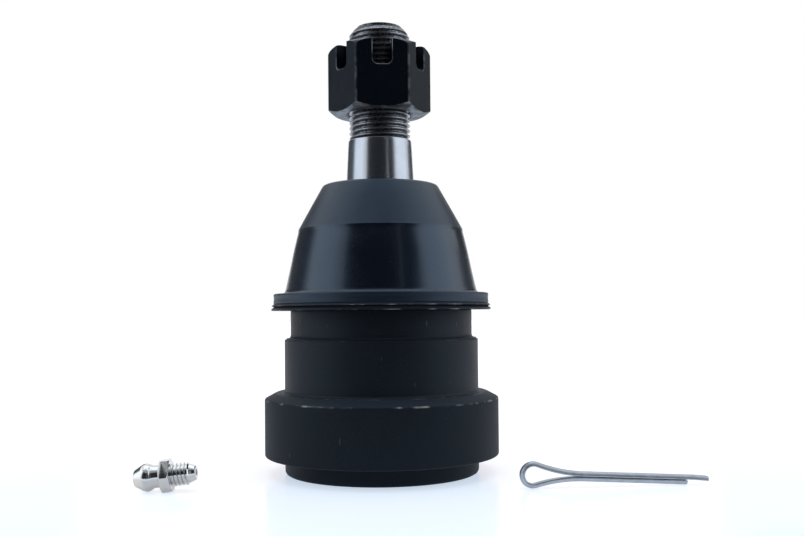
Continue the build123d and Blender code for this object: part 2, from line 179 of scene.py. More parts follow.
# %% Turn the housing
FOOT_R, FOOT_TOP, COLLAR_R, SHOULDER = 27.8, 5.2, 33.5, 23.2
CHAMFER_W, CHAMFER_H, LEDGE_W, LEDGE_H = 3.4, 1.8, 0.5, 0.3
BARREL_R, BARREL_TOP, NECK_R, NECK_TOP = 27.8, 38.5, 26.05, 46.4
SPIGOT_R, SPIGOT_TOP, BORE_R = 24.4, 50.4, 20.05
MOUTH_R, THROAT_R, THROAT_Z = 21.06, 14.99, 34.5
RIM_R, COVER_R, COVER_BOTTOM, COVER_TOP = 20.25, 22.35, 1.8, 4.6
housing = turned("housing_forging", eased(
    (RIM_R, 0, 0.4), (FOOT_R, 0, 1.3), (FOOT_R, FOOT_TOP, 0.5),
    (COLLAR_R, FOOT_TOP, 0.6), (COLLAR_R, SHOULDER - CHAMFER_H, 0.45),
    (COLLAR_R - CHAMFER_W, SHOULDER, 0.7), (BARREL_R, SHOULDER, 0.8),
    (BARREL_R, BARREL_TOP - LEDGE_H, 0.35), (BARREL_R - LEDGE_W, BARREL_TOP - LEDGE_H),
    (BARREL_R - LEDGE_W, BARREL_TOP), (NECK_R, BARREL_TOP, 1.1),
    (NECK_R, NECK_TOP, 0.3), (SPIGOT_R, NECK_TOP), (SPIGOT_R, SPIGOT_TOP, 0.3),
    (MOUTH_R, SPIGOT_TOP, 0.2), (THROAT_R, THROAT_Z, 0.2), (BORE_R, THROAT_Z),
    (BORE_R, COVER_TOP), (COVER_R, COVER_TOP), (COVER_R, COVER_BOTTOM),
    (RIM_R, COVER_BOTTOM, 0.3), (RIM_R, 0.4),
))
show(housing)

# %% [markdown]
# The boot is one rubber part on the real joint: a thick band that sits on the steel ring, a
# skirt that narrows upward to a crease, and a cone that closes on the stud. It is made as two
# shells that meet at the crease, and the joint swings about two axes in turn. Cloth simulation
# would suit a slack cover, but a moulded boot holds its shape, so both halves are turned, with a
# soft thick crease.
# Neither outline comes back to its first point, so the lathe caps each half with two flat faces
# inside the boot, which the stud passes through. Only the outside and the lip are seen.

# %% Turn the two halves of the boot
FLANGE_BOTTOM, SKIRT_BOTTOM, CREASE, BOOT_TOP = 48.3, 51.2, 69.5, 82.4
FLANGE_R, FOOT_INNER_R, CREASE_R, BOOT_WALL = 31, 25.6, 23.7, 2.4
CONE_TOP_R, LIP_R, LIP_BOTTOM = 16.5, 9.95, 78.4
skirt = turned("boot_skirt_rubber", eased(
    (FOOT_INNER_R, FLANGE_BOTTOM), (FLANGE_R, FLANGE_BOTTOM, 0.5), (30.75, 49.75, 0.6),
    (FLANGE_R, SKIRT_BOTTOM, 0.7), (27.75, SKIRT_BOTTOM, 0.9), (26.75, 55.4, 3), (25.9, 59.3, 3),
    (24.95, 64, 3), (CREASE_R + 0.08, CREASE - 0.9, 0.5), (CREASE_R, CREASE),
    (CREASE_R - BOOT_WALL, CREASE), (24.2, 53, 2), (FOOT_INNER_R, SKIRT_BOTTOM, 0.8),
))
cone = turned("boot_cone_rubber", eased(
    (CREASE_R - BOOT_WALL, CREASE), (CREASE_R, CREASE), (CREASE_R - 0.3, CREASE + 0.5, 0.3),
    (20.1, 76, 2), (CONE_TOP_R, BOOT_TOP, 0.8), (LIP_R, BOOT_TOP, 0.35),
    (LIP_R - 0.13, LIP_BOTTOM, 0.3), (CONE_TOP_R - 0.1, LIP_BOTTOM, 0.8),
))
show(skirt)
show(cone)

# %% [markdown]
# Holes, slots and chamfers are cut with other shapes, as a mill or a drill would. A Boolean
# modifier does it, and it is applied at once, so that the next step works on real edges. The
# tool is thrown away after the cut.

# %% Modify, cut and join
def modify(piece, kind, **settings):
    """Add one modifier with its settings and apply it."""
    deselect()
    piece.select_set(True)
    bpy.context.view_layer.objects.active = piece
    modifier = piece.modifiers.new(kind.title(), kind)
    for setting, value in settings.items():
        setattr(modifier, setting, value)
    bpy.ops.object.modifier_apply(modifier=modifier.name)


def cut(piece, tool, operation="DIFFERENCE"):
    """Use one piece on another, then throw the tool away."""
    modify(piece, "BOOLEAN", operation=operation, solver="EXACT", object=tool)
    deselect()
    tool.select_set(True)
    bpy.ops.object.delete()


def joined(piece, *others):
    """Join pieces into the first one."""
    deselect()
    for other in (piece, *others):
        other.select_set(True)
    bpy.context.view_layer.objects.active = piece
    bpy.ops.object.join()
    return piece


print("tools ready: modify, cut and joined")

# %% [markdown]
# A screw thread is one ridge that climbs round the rod. The section of the ridge is drawn once
# as a flat quad, a Screw modifier winds it, and a Boolean with a turned envelope trims its ends
# the way a die does. The ridge's foot is sunk into the rod, so rod and ridge join with no gap.

# %% Wind a thread
SUNK, DEPTH, FOOT_SHARE, CREST_SHARE = 0.25, 0.6134, 0.98, 0.14


def thread(major, pitch, bottom, top, bevel_w, bevel_h, around=64):
    """A 60-degree thread between two heights, trimmed to a cone at its top, in millimetres."""
    depth = DEPTH * pitch
    root = major - depth
    deselect()
    bpy.ops.mesh.primitive_plane_add(
        size=1, location=((major - (depth + SUNK) / 2) * MM, 0, (bottom - pitch) * MM),
        rotation=(pi / 2, 0, 0),
    )
    ridge = bpy.context.object
    edit()
    bpy.ops.transform.resize(value=((depth + SUNK) * MM, 1, FOOT_SHARE * pitch * MM))
    place = ridge.matrix_world
    choose("VERT", lambda corner: (place @ corner.co).x > (root + SUNK) * MM)
    bpy.ops.transform.resize(value=(1, 1, CREST_SHARE))
    bpy.ops.mesh.select_all(action="SELECT")
    bpy.ops.mesh.delete(type="ONLY_FACE")
    bpy.ops.object.mode_set(mode="OBJECT")
    bpy.ops.object.transform_apply(location=True, rotation=True, scale=True)
    modify(
        ridge, "SCREW", axis="Z", screw_offset=pitch * MM, steps=around, render_steps=around,
        iterations=int((top - bottom) / pitch) + 2, use_smooth_shade=False,
    )
    edit()
    bpy.ops.mesh.select_all(action="DESELECT")
    bpy.ops.mesh.select_non_manifold()
    bpy.ops.mesh.fill_holes(sides=4)
    ridge = finish_mesh("thread")
    inner = root - 2 * SUNK
    cone_end = top - bevel_h * (inner - major + bevel_w) / bevel_w
    cut(ridge, turned("die", [
        (inner, bottom), (major + bevel_w, bottom), (major + bevel_w, top - 2 * bevel_h),
        (inner, cone_end), (inner, bottom),
    ]), "INTERSECT")
    return ridge


print("a 1.5 mm thread is", round(DEPTH * 1.5, 2), "mm deep")

# %% [markdown]
# The ball stud is one steel forging: a ground ball inside the housing, a waist, the seat that
# the boot's lip runs on, a taper that pulls tight in the knuckle, and the thread. It is turned
# in one outline, from the flat under the ball to the turning centre in its end. The thread is
# wound on the rod, and a drill makes the hole for the cotter pin through both, in line with a
# pair of the nut's slots. The nut was left five degrees off square to the front.

# %% Turn the ball stud and cut its thread
BALL_Z, BALL_R, BALL_BOTTOM, STUD_TOP, THREAD_FOOT = 26.5, 16.5, 10.8, 128.6, 95.3
THREAD_R, THREAD_PITCH, THREAD_ROOT_R, NUT_TURN = 8.8, 1.5, 7.88, 5
WAIST_R, SEAT_R, TAPER_BOTTOM, TAPER_END_R = 8.4, 9.77, 82.4, 9.1
END_R, END_BEVEL_W, END_BEVEL_H, CENTRE_R, DRILL_R = 5.3, 2.4, 2.9, 2, 0.8
COTTER_HOLE_R, COTTER_HOLE_Z, DRILL_LENGTH = 2, 118.6, 30
first, last, ball_steps = asin((BALL_Z - BALL_BOTTOM) / BALL_R), radians(56), 26
ball_side = [
    (BALL_R * cos(angle), BALL_Z + BALL_R * sin(angle))
    for angle in (-first + (first + last) * step / ball_steps for step in range(ball_steps + 1))
]
stud = turned("ball_stud_steel", [
    *ball_side,
    *eased(
        (9.1, 41.0), (WAIST_R, 42.5, 0.8), (WAIST_R, 62, 4), (SEAT_R, 76, 2),
        (SEAT_R, TAPER_BOTTOM, 0.2), (9.22, 93.4, 0.15), (TAPER_END_R, THREAD_FOOT, 0.3),
        (THREAD_ROOT_R, THREAD_FOOT + 0.4, 0.2), (THREAD_ROOT_R, STUD_TOP - 2),
        (7.1, STUD_TOP - 1.6), (7.35, STUD_TOP - 1.15), (6.3, STUD_TOP - 0.65),
        (6.5, STUD_TOP - 0.3), (END_R, STUD_TOP, 0.1), (CENTRE_R, STUD_TOP, 0.15),
        (DRILL_R, STUD_TOP - 2.1), (DRILL_R, STUD_TOP - 3),
    )[1:],
])
ridge = thread(
    THREAD_R, THREAD_PITCH, THREAD_FOOT - 0.1, STUD_TOP, END_BEVEL_W, END_BEVEL_H
)
for part in (stud, ridge):
    deselect()
    bpy.ops.mesh.primitive_cylinder_add(
        vertices=32, radius=COTTER_HOLE_R * MM, depth=DRILL_LENGTH * MM,
        location=(0, 0, COTTER_HOLE_Z * MM), rotation=(pi / 2, 0, radians(120 + NUT_TURN)),
    )
    cut(part, bpy.context.object)
stud = joined(stud, ridge)
stud = finish_mesh("ball_stud_steel")
show(stud)

# %% [markdown]
# A castle nut is a hexagon with six slots for the cotter pin. A six-sided cylinder gives the
# flats, and three long cutters, modelled once and copied, make the slots through both sides.
# The edges are bevelled while all of them are still long and straight, and the second material
# place marks the bevels for the next step.

# %% Cut the hexagon and its slots
def run(piece, side):
    """The way from one end of an edge to the other."""
    start, end = (piece.data.vertices[corner].co for corner in side.vertices)
    return end - start


def turn_piece(piece, angle):
    """Turn a piece about Z, in degrees, with the turn put in its mesh."""
    piece.rotation_euler.z = radians(angle)
    bpy.ops.object.transform_apply(location=True, rotation=True, scale=True)


NUT_BOTTOM, NUT_TOP, SLOT_FLOOR, SLOT_W, NUT_BORE_R = 103, 122.4, 114.8, 5.5, 8.85
FLAT_R, SPARE = 13, 1
CORNER_R = FLAT_R / cos(radians(30))
CORNER_BEVEL, SLOT_CORNER, EDGE_BEVEL, LONG_EDGE = 0.45, 1.6, 0.16, 1
deselect()
bpy.ops.mesh.primitive_cylinder_add(
    vertices=6, radius=CORNER_R * MM, depth=(NUT_TOP - NUT_BOTTOM + 2 * SPARE) * MM,
    location=(0, 0, (NUT_TOP + NUT_BOTTOM) / 2 * MM), rotation=(0, 0, radians(30 + NUT_TURN)),
)
nut = bpy.context.object
bpy.ops.object.transform_apply(location=True, rotation=True, scale=True)
choose("EDGE", lambda side: abs(run(nut, side).z) > LONG_EDGE * MM)
bpy.ops.mesh.bevel(offset=CORNER_BEVEL * MM, segments=4, affect="EDGES")
bpy.ops.object.mode_set(mode="OBJECT")
deselect()
bpy.ops.mesh.primitive_cube_add(
    size=1, location=(0, 0, (NUT_TOP + SPARE) * MM),
    scale=(SLOT_W * MM, 3 * FLAT_R * MM, 2 * (NUT_TOP + SPARE - SLOT_FLOOR) * MM),
)
slotter = bpy.context.object
bpy.ops.object.transform_apply(location=True, rotation=True, scale=True)
choose("EDGE", lambda side: abs(run(slotter, side).y) > LONG_EDGE * MM)
bpy.ops.mesh.bevel(offset=SLOT_CORNER * MM, segments=6, affect="EDGES")
bpy.ops.object.mode_set(mode="OBJECT")
turn_piece(slotter, NUT_TURN)
for angle in (60, 120):
    deselect()
    slotter.select_set(True)
    bpy.context.view_layer.objects.active = slotter
    bpy.ops.object.duplicate(linked=False)
    copy = bpy.context.object
    turn_piece(copy, angle)
    cut(nut, copy)
cut(nut, slotter)
for _ in range(2):
    nut.data.materials.append(None)
modify(nut, "BEVEL", width=EDGE_BEVEL * MM, segments=2, limit_method="ANGLE",
       angle_limit=radians(40), use_clamp_overlap=False, material=1)
show(nut)

# %% [markdown]
# A turned envelope takes off the rounded top and the chamfer below, and bores the hole. The
# bevels, the corners and the two ends are then marked to be painted bright: partly wear where a
# wrench rubs the finish, partly painted highlights along the edges. The big flats are shaded
# flat, so that they stay truly flat in reflections.

# %% Turn the nut's ends and mark the wear and painted highlights
LEAD_IN, BOTTOM_W, BOTTOM_H, TOP_W, TOP_H = 0.9, 1.96, 1.45, 2.31, 2.9
EDGE_WEAR_AND_HIGHLIGHT, CORNER_WEAR_AND_HIGHLIGHT, END_WEAR_AND_HIGHLIGHT = 0.65, 0.32, 0.6
ROUNDED, BIG_FACE = 0.35, 8 * MM**2
cut(nut, turned("nut_envelope", eased(
    (NUT_BORE_R + LEAD_IN, NUT_BOTTOM, 0.15), (CORNER_R - BOTTOM_W, NUT_BOTTOM, 0.35),
    (CORNER_R + 0.1, NUT_BOTTOM + BOTTOM_H, 0.3), (CORNER_R + 0.1, NUT_TOP - TOP_H, 0.3),
    (CORNER_R - ROUNDED, NUT_TOP - 1.3, 0.9), (CORNER_R - TOP_W, NUT_TOP, 1.1),
    (NUT_BORE_R + LEAD_IN, NUT_TOP, 0.15), (NUT_BORE_R, NUT_TOP - LEAD_IN),
    (NUT_BORE_R, NUT_BOTTOM + LEAD_IN), (NUT_BORE_R + LEAD_IN, NUT_BOTTOM, 0.15),
), around=144), "INTERSECT")
nut = finish_mesh("castle_nut_steel", smooth=35)
# marks the faces painted bright: wrench wear and painted edge highlights on bevels, corners and
# ends
rubbed = nut.data.attributes.new("rubbed", "FLOAT", "FACE")
for face in nut.data.polygons:
    on_edge = face.material_index == 1
    on_corner = face.center.xy.length > (CORNER_R - ROUNDED) * MM
    underneath = face.center.z < (NUT_BOTTOM + 1.3) * MM and face.normal.z < -0.3
    on_top = face.center.z > (NUT_TOP - 1) * MM and face.normal.z > 0.3
    rubbed.data[face.index].value = max(
        EDGE_WEAR_AND_HIGHLIGHT * on_edge, CORNER_WEAR_AND_HIGHLIGHT * on_corner, END_WEAR_AND_HIGHLIGHT * (underneath or on_top)
    )
    face.material_index = 0
    face.use_smooth = face.area < BIG_FACE
show(nut)

# %% [markdown]
# The grease fitting comes loose with the joint: a ball-shaped nozzle that a grease gun grips, a
# neck, a small hexagon and a short thread. It is modelled upright at the origin, where its
# radius and height are easy to read, and then laid down on the floor in its place. It rests on
# its head and on one flat of its hexagon, so it leans by a few degrees.

# %% Make the grease fitting
def placed(piece, spot, rotation):
    """Move a piece modelled at the origin to its place, with the place in its mesh."""
    deselect()
    piece.select_set(True)
    bpy.context.view_layer.objects.active = piece
    piece.location = Vector(spot) * MM
    piece.rotation_euler = rotation
    bpy.ops.object.transform_apply(location=True, rotation=True, scale=True)


HEAD_R, HEAD_Z, HEX_BOTTOM, HEX_TOP, HEX_FLAT_R, HEX_EDGE = 3.65, 3.3, 6.9, 9.6, 4, 0.09
TIP_HOLE_R, CHANNEL_R, CHANNEL_END, OUTLET_R, OUTLET_Z = 0.92, 1.5, 1.2, 0.8, 12.5
SHANK_R, FITTING_ROOT_R, FITTING_END = 2.9, 2.387, 16
FITTING_THREAD_R, FITTING_PITCH, FITTING_THREAD_END = 3, 1, 14.7
TIP_BEVEL_W, TIP_BEVEL_H = 1, 0.9
FITTING_X, FITTING_Y, REST_RUN = -63.2, -29.5, 3.6
FITTING_LEAN = atan((HEX_FLAT_R - HEAD_R) / REST_RUN)
fitting = turned("grease_fitting_nickel", eased(
    (TIP_HOLE_R, 0, 0.15), (2.1, 0, 0.35), (3.5, 2.45, 0.4), (HEAD_R, HEAD_Z, 0.4),
    (3.45, 4.15, 0.35), (SHANK_R, 4.9, 0.5), (SHANK_R, 7.2), (SHANK_R, 9.3),
    (FITTING_ROOT_R, 9.7), (FITTING_ROOT_R, 14.6, 0.1), (1.8, FITTING_END, 0.25),
    (OUTLET_R, FITTING_END, 0.1), (OUTLET_R, OUTLET_Z), (CHANNEL_R, OUTLET_Z),
    (CHANNEL_R, CHANNEL_END), (TIP_HOLE_R, CHANNEL_END), (TIP_HOLE_R, 0, 0.15),
), around=96)
deselect()
bpy.ops.mesh.primitive_cylinder_add(
    vertices=6, radius=HEX_FLAT_R / cos(radians(30)) * MM, depth=(HEX_TOP - HEX_BOTTOM) * MM,
    location=(0, 0, (HEX_TOP + HEX_BOTTOM) / 2 * MM),
)
hexagon = bpy.context.object
bpy.ops.object.transform_apply(location=True, rotation=True, scale=True)
cut(hexagon, turned("hexagon_envelope", eased(
    (2.7, HEX_BOTTOM), (4.05, HEX_BOTTOM, 0.15), (4.62, HEX_BOTTOM + 0.4, 0.15),
    (4.62, HEX_TOP - 0.4, 0.15), (4.05, HEX_TOP, 0.15), (2.7, HEX_TOP), (2.7, HEX_BOTTOM),
), around=96), "INTERSECT")
modify(hexagon, "BEVEL", width=HEX_EDGE * MM, segments=2, limit_method="ANGLE",
       angle_limit=radians(40), use_clamp_overlap=False)
fitting = joined(fitting, hexagon, thread(
    FITTING_THREAD_R, FITTING_PITCH, HEX_TOP, FITTING_THREAD_END, TIP_BEVEL_W, TIP_BEVEL_H,
    around=48,
))
fitting = finish_mesh("grease_fitting_nickel", smooth=35)
head_height = HEAD_R * cos(FITTING_LEAN) - HEAD_Z * sin(FITTING_LEAN)
placed(fitting, (FITTING_X, FITTING_Y, head_height), (0, pi / 2 - FITTING_LEAN, 0))
show(fitting)

# %% [markdown]
# A cotter pin is one length of half-round wire bent back on itself, with an eye at the bend and
# one leg left longer. Half a disc is the section of the wire. It is pushed along the short leg
# by an extrusion, carried round each bend by Spin about that bend's own centre, and pushed
# along the long leg, which is just how the wire is bent. The wire's own edges are rounded
# afterwards, which leaves a fine groove between the legs.

# %% Bend the cotter pin
WIRE_R, EYE_R, BLEND_R, LEG_Y, SHORT_LEG, LONG_LEG = 1.25, 2.25, 40, 0.07, 41, 46.7
TIP_BEND, TIP_R, WIRE_BEVEL = radians(5), 60, 0.28
PIN_X, PIN_Y, PIN_TURN = 39.4, -29.5, radians(5.5)
blend_x = sqrt((EYE_R + BLEND_R) ** 2 - (LEG_Y + BLEND_R) ** 2)
touch = asin((LEG_Y + BLEND_R) / (EYE_R + BLEND_R))
tip_x = LONG_LEG - TIP_R * sin(TIP_BEND)


def push(distance):
    """Carry the wire's section straight along X."""
    bpy.ops.mesh.extrude_region_move(TRANSFORM_OT_translate={"value": (distance * MM, 0, 0)})


def bend(centre, angle, steps):
    """Carry the wire's section clockwise round a centre, seen from the front."""
    bpy.ops.mesh.spin(
        steps=steps, angle=-angle, center=(centre[0] * MM, 0, centre[1] * MM), axis=(0, 1, 0)
    )


deselect()
bpy.ops.mesh.primitive_circle_add(
    vertices=20, radius=WIRE_R * MM, fill_type="NGON",
    location=(SHORT_LEG * MM, 0, -LEG_Y * MM), rotation=(0, pi / 2, 0),
)
pin = bpy.context.object
bpy.ops.object.transform_apply(location=True, rotation=True, scale=True)
edit("FACE")
bpy.ops.mesh.bisect(
    plane_co=(0, 0, -LEG_Y * MM), plane_no=(0, 0, 1), clear_outer=True, use_fill=False
)
bpy.ops.mesh.select_all(action="SELECT")
push(blend_x - SHORT_LEG)
bend((blend_x, -LEG_Y - BLEND_R), -(pi / 2 - touch), 14)
bend((0, 0), 2 * pi - 2 * touch, 40)
bend((blend_x, LEG_Y + BLEND_R), -(pi / 2 - touch), 14)
push(tip_x - blend_x)
bend((tip_x, LEG_Y - TIP_R), TIP_BEND, 4)
pin = finish_mesh("cotter_pin_zinc", smooth=40)
modify(pin, "BEVEL", width=WIRE_BEVEL * MM, segments=2, limit_method="ANGLE",
       angle_limit=radians(50), use_clamp_overlap=True)
pin_slope = asin((EYE_R - LEG_Y) / SHORT_LEG)
placed(pin, (PIN_X, PIN_Y, EYE_R + WIRE_R), (0, pin_slope, PIN_TURN))
pin = finish_mesh("cotter_pin_zinc", smooth=40)
print("the pin reaches", [round(side / MM, 2) for side in pin.dimensions], "mm")

# %% [markdown]
# A finish is a small program: it says how colour, roughness and height change over the surface.
# Writing that node by node hides the idea, so one class wraps a socket and lets ordinary sums
# add the Math nodes.

# %% Sums that build nodes
class Signal:
    """A socket's value, ready to be used in a sum."""

    def __init__(self, finish, socket):
        self.finish, self.socket = finish, socket

    def sum(self, operation, first, second):
        return self.finish.node("ShaderNodeMath", {"operation": operation}, {0: first, 1: second})

    def __add__(self, other):
        return self.sum("ADD", self, other)

    def __radd__(self, other):
        return self.sum("ADD", other, self)

    def __sub__(self, other):
        return self.sum("SUBTRACT", self, other)

    def __rsub__(self, other):
        return self.sum("SUBTRACT", other, self)

    def __mul__(self, other):
        return self.sum("MULTIPLY", self, other)

    def __rmul__(self, other):
        return self.sum("MULTIPLY", other, self)

    def __truediv__(self, other):
        return self.sum("DIVIDE", self, other)

    def __rtruediv__(self, other):
        return self.sum("DIVIDE", other, self)

    def __pow__(self, other):
        return self.sum("POWER", self, other)

    def __rpow__(self, other):
        return self.sum("POWER", other, self)


print("a signal can be added, subtracted, multiplied, divided and raised to a power")

# %% [markdown]
# The second class holds one material. Its method node() adds any other kind of node, and the
# short methods below it are the patterns that come back in every finish: clouds, specks, soft
# steps, the height and the radius of the place, and how far the surface faces up.

# %% A material that grows by itself
class Finish:
    """A material, built round its Principled shader."""

    def __init__(self, name, **constants):
        self.material = bpy.data.materials.new(name)
        self.material.use_nodes = True
        self.tree = self.material.node_tree
        self.shader = self.tree.nodes["Principled BSDF"]
        for socket, value in constants.items():
            self.shader.inputs[socket.replace("_", " ")].default_value = value
        self.place = self.node("ShaderNodeTexCoord", output="Object")

    def node(self, kind, settings=None, sockets=None, output=0):
        """Add a node; its settings come first, then the values or links of its sockets."""
        made = self.tree.nodes.new(kind)
        for setting, value in (settings or {}).items():
            setattr(made, setting, value)
        for socket, value in (sockets or {}).items():
            if isinstance(value, Signal):
                self.tree.links.new(value.socket, made.inputs[socket])
            else:
                made.inputs[socket].default_value = value
        return Signal(self, made.outputs[output])

    def grain(self, scale, detail=3, stretch=(1, 1, 1), roughness=0.5):
        """Cloudy noise from 0 to 1; scale is the number of clouds in a metre."""
        place = self.place
        if stretch != (1, 1, 1):
            place = self.node("ShaderNodeMapping", {}, {"Vector": place, "Scale": stretch})
        return self.node("ShaderNodeTexNoise", {}, {
            "Vector": place, "Scale": scale, "Detail": detail, "Roughness": roughness,
        })

    def specks(self, scale, size):
        """Small round specks: 1 inside a speck and 0 between them."""
        distance = self.node("ShaderNodeTexVoronoi", {}, {"Vector": self.place, "Scale": scale})
        return self.between(distance, size, size * 0.5)

    def between(self, value, low, high):
        """0 at low, 1 at high and a soft step between them."""
        return self.node(
            "ShaderNodeMapRange", {"interpolation_type": "SMOOTHSTEP"},
            {"Value": value, "From Min": low, "From Max": high},
        )

    def height(self):
        """Height above the floor, in millimetres."""
        parts = self.node("ShaderNodeSeparateXYZ", {}, {"Vector": self.place}, "Z")
        return parts / MM

    def radius(self):
        """Distance from the joint's axis, in millimetres."""
        flat = self.node(
            "ShaderNodeVectorMath", {"operation": "MULTIPLY"}, {0: self.place, 1: (1, 1, 0)}
        )
        return self.node(
            "ShaderNodeVectorMath", {"operation": "LENGTH"}, {0: flat}, "Value"
        ) / MM

    def upward(self):
        """How far the surface faces up, from -1 to 1."""
        facing = self.node("ShaderNodeNewGeometry", output="Normal")
        return self.node("ShaderNodeSeparateXYZ", {}, {"Vector": facing}, "Z")

    def edge(self, radius, height, reach):
        """1 on the ring at this radius and height, falling to 0 at the reach around it."""
        across, up = self.radius() - radius, self.height() - height
        return self.between((across * across + up * up) ** 0.5, reach, reach * 0.3)

    def mix(self, share, first, second):
        """Go from the first colour to the second as the share goes from 0 to 1."""
        return self.node("ShaderNodeMix", {"data_type": "RGBA"}, {
            "Factor": share,
            6: first if isinstance(first, Signal) else (*first, 1),
            7: second if isinstance(second, Signal) else (*second, 1),
        }, 2)

    def paint(self, **inputs):
        """Link what changes over the surface."""
        for socket, value in inputs.items():
            self.tree.links.new(value.socket, self.shader.inputs[socket.replace("_", " ")])

    def emboss(self, height, depth, strength=1.0):
        """Raise the surface by a height from 0 to 1; depth is in millimetres."""
        self.paint(Normal=self.node("ShaderNodeBump", {}, {
            "Height": height, "Distance": depth * MM, "Strength": strength,
        }))


patterns = [word for word in vars(Finish) if not word.startswith("_")]
print("a finish offers:", ", ".join(patterns))

# %% [markdown]
# The housing and its steel ring carry a phosphate coat: dark blue-grey, matt and finely
# crystalline, and oiled. The crystals are fine noise in colour and height. Handling rubs the
# coat off the sharpest edges first, so bare metal shows in broken lines along the collar's
# chamfer, where a mask for the edge meets patchy noise, and in a few thin scratches. What
# faces up is made lighter.

# %% Phosphate coat
def phosphate(name, dark, light, shine, edges):
    """Dark crystalline coat, worn to bare metal along the given edges."""
    coat = Finish(name, Specular_IOR_Level=shine, Specular_Tint=(0.62, 0.8, 1, 1))
    crystals, patches = coat.grain(2600, 4, roughness=0.7), coat.grain(120, 5)
    worn_patches = coat.between(coat.grain(230, 4), 0.42, 0.68)
    worn = 0
    for radius, height, reach in edges:  # each edge is a ring, and the reach is its wear's width
        worn = coat.edge(radius, height, reach) + worn
    scratches = coat.between(coat.grain(70, 2, (14, 14, 1.4)), 0.735, 0.77)
    glints = coat.specks(1500, 0.11)
    bare = coat.between(worn * worn_patches * 0.5 + scratches * 0.22 + glints * 0.2, 0, 1)
    tone = coat.mix(crystals * 0.75 + patches * 0.35 - 0.05, dark, light)
    # lighter where the surface faces up
    tone = coat.mix(coat.between(coat.upward(), 0.2, 0.9) * 0.6, tone, (0.032, 0.042, 0.06))
    forged = coat.between(coat.height(), SHOULDER + 0.3, SHOULDER - 0.3)
    coat.paint(
        Base_Color=coat.mix(bare, tone, (0.62, 0.63, 0.64)),
        Roughness=0.36 + crystals * 0.22 + patches * 0.08 + forged * 0.12 - bare * 0.15,
        Metallic=bare * 0.9,
    )
    coat.emboss(crystals + patches * 0.3, 0.035, 0.8)
    return coat.material


coated_steel = phosphate("worn_phosphate", (0.0025, 0.0042, 0.0075), (0.014, 0.020, 0.030), 0.2, [
    (COLLAR_R, SHOULDER - CHAMFER_H, 0.5), (COLLAR_R - CHAMFER_W, SHOULDER, 0.25),
    (COLLAR_R, FOOT_TOP, 0.3), (BARREL_R, BARREL_TOP - LEDGE_H, 0.2),
])
RING_R, RING_GROOVE = 31.5, 47.8
ring_steel = phosphate("ring_phosphate", (0.003, 0.005, 0.008), (0.018, 0.023, 0.03), 0.18, [
    (RING_R, NECK_TOP, 0.3), (RING_R, RING_GROOVE, 0.3),
])
print("coats:", coated_steel.name, ring_steel.name)

# %% [markdown]
# The boot is black chloroprene rubber. The mould leaves it faintly mottled and glossy on the
# skirt, while the cone above is duller, and the band at the foot is duller from handling. What
# faces up is painted lighter, partly as dust and partly as painted light from above, with fine
# dust flecks. Height steers the gloss, and the way the surface faces steers the dust and the
# painted top light. A thin clear coat adds the wet look of the skirt.

# %% Boot rubber
rubber = Finish("moulded_rubber", Specular_IOR_Level=0.78, Coat_Roughness=0.16,
                Specular_Tint=(0.48, 0.72, 1, 1), Coat_Tint=(0.85, 0.93, 1, 1))
mottle, pores = rubber.grain(170, 4), rubber.grain(3200, 2)
on_cone = rubber.between(rubber.height(), CREASE - 0.3, CREASE + 0.3)
on_band = rubber.between(rubber.height(), SKIRT_BOTTOM + 0.6, SKIRT_BOTTOM - 0.2)
# what faces up is painted lighter: partly dust, partly painted light from above
top_light_and_dust = rubber.between(rubber.upward(), 0.1, 0.8) * mottle
flecks = rubber.specks(520, 0.085)
top_light_and_dust_share = top_light_and_dust * 0.5 + flecks * 0.4
rubber.paint(
    Base_Color=rubber.mix(top_light_and_dust_share, (0.003, 0.004, 0.011), (0.07, 0.084, 0.11)),
    Roughness=0.2 + mottle * 0.12 + on_cone * 0.14 + on_band * 0.26,
    Coat_Weight=(1 - on_cone) * rubber.between(rubber.height(), SKIRT_BOTTOM, 52.5) * 0.3,
)
rubber.emboss(pores * 0.5 + mottle, 0.05, 0.5)
boot_rubber = rubber.material
print("rubber:", boot_rubber.name)

# %% [markdown]
# Bare steel shows how it was made. Turning leaves rings round the axis, so the noise is
# squeezed along Z until each cloud is a thin ring; grinding leaves finer ones. The same finish
# serves the stud, the bearings, the springs and the plated fitting, each with its own colour
# and shine. The stud's thread is darker and oily, and its crests and a fine glitter on it are
# painted lighter as painted highlights.

# %% Machined steel
def machined(name, colour, shine, rings, darkening=0.25, marks_depth=0.006, threaded=False):
    """Bare metal with fine tool marks round the Z axis; the stud's thread stays oily."""
    steel = Finish(name, Metallic=1.0)
    marks = steel.grain(rings, 2, (0.03, 0.03, 1))
    stains = steel.grain(140, 5)
    dark = tuple(part * (1 - darkening) for part in colour)
    tone = steel.mix(steel.between(stains, 0.62, 0.4), dark, colour)
    rough = shine + marks * 0.12 + stains * darkening * 0.4
    if threaded:
        oily = steel.between(steel.height(), THREAD_FOOT - 0.2, THREAD_FOOT + 0.2)
        # painted highlight: the crests and a fine glitter are painted lighter on the dark oily
        # thread
        crest = steel.between(steel.radius(), THREAD_R - 0.55, THREAD_R - 0.05)
        glitter = steel.between(steel.grain(2200, 3), 0.35, 0.62)
        tone = steel.mix(oily, tone, steel.mix(
            crest * 0.4 + glitter * 0.4, (0.03, 0.034, 0.042), (0.58, 0.61, 0.66)
        ))
        rough = rough + oily * 0.14
    steel.paint(Base_Color=tone, Roughness=rough)
    steel.emboss(marks, marks_depth, 0.5)
    return steel.material


stud_steel = machined("ground_steel", (0.47, 0.51, 0.57), 0.15, 5200, 0.06, 0.003, True)
bearing_steel = machined("race_steel", (0.60, 0.62, 0.65), 0.2, 4000)
spring_steel = machined("sprung_steel", (0.30, 0.31, 0.34), 0.28, 3000)
nickel_plate = machined("bright_nickel", (0.72, 0.73, 0.735), 0.06, 2000, 0.1, 0.003)
print("steels:", stud_steel.name, bearing_steel.name, spring_steel.name, nickel_plate.name)
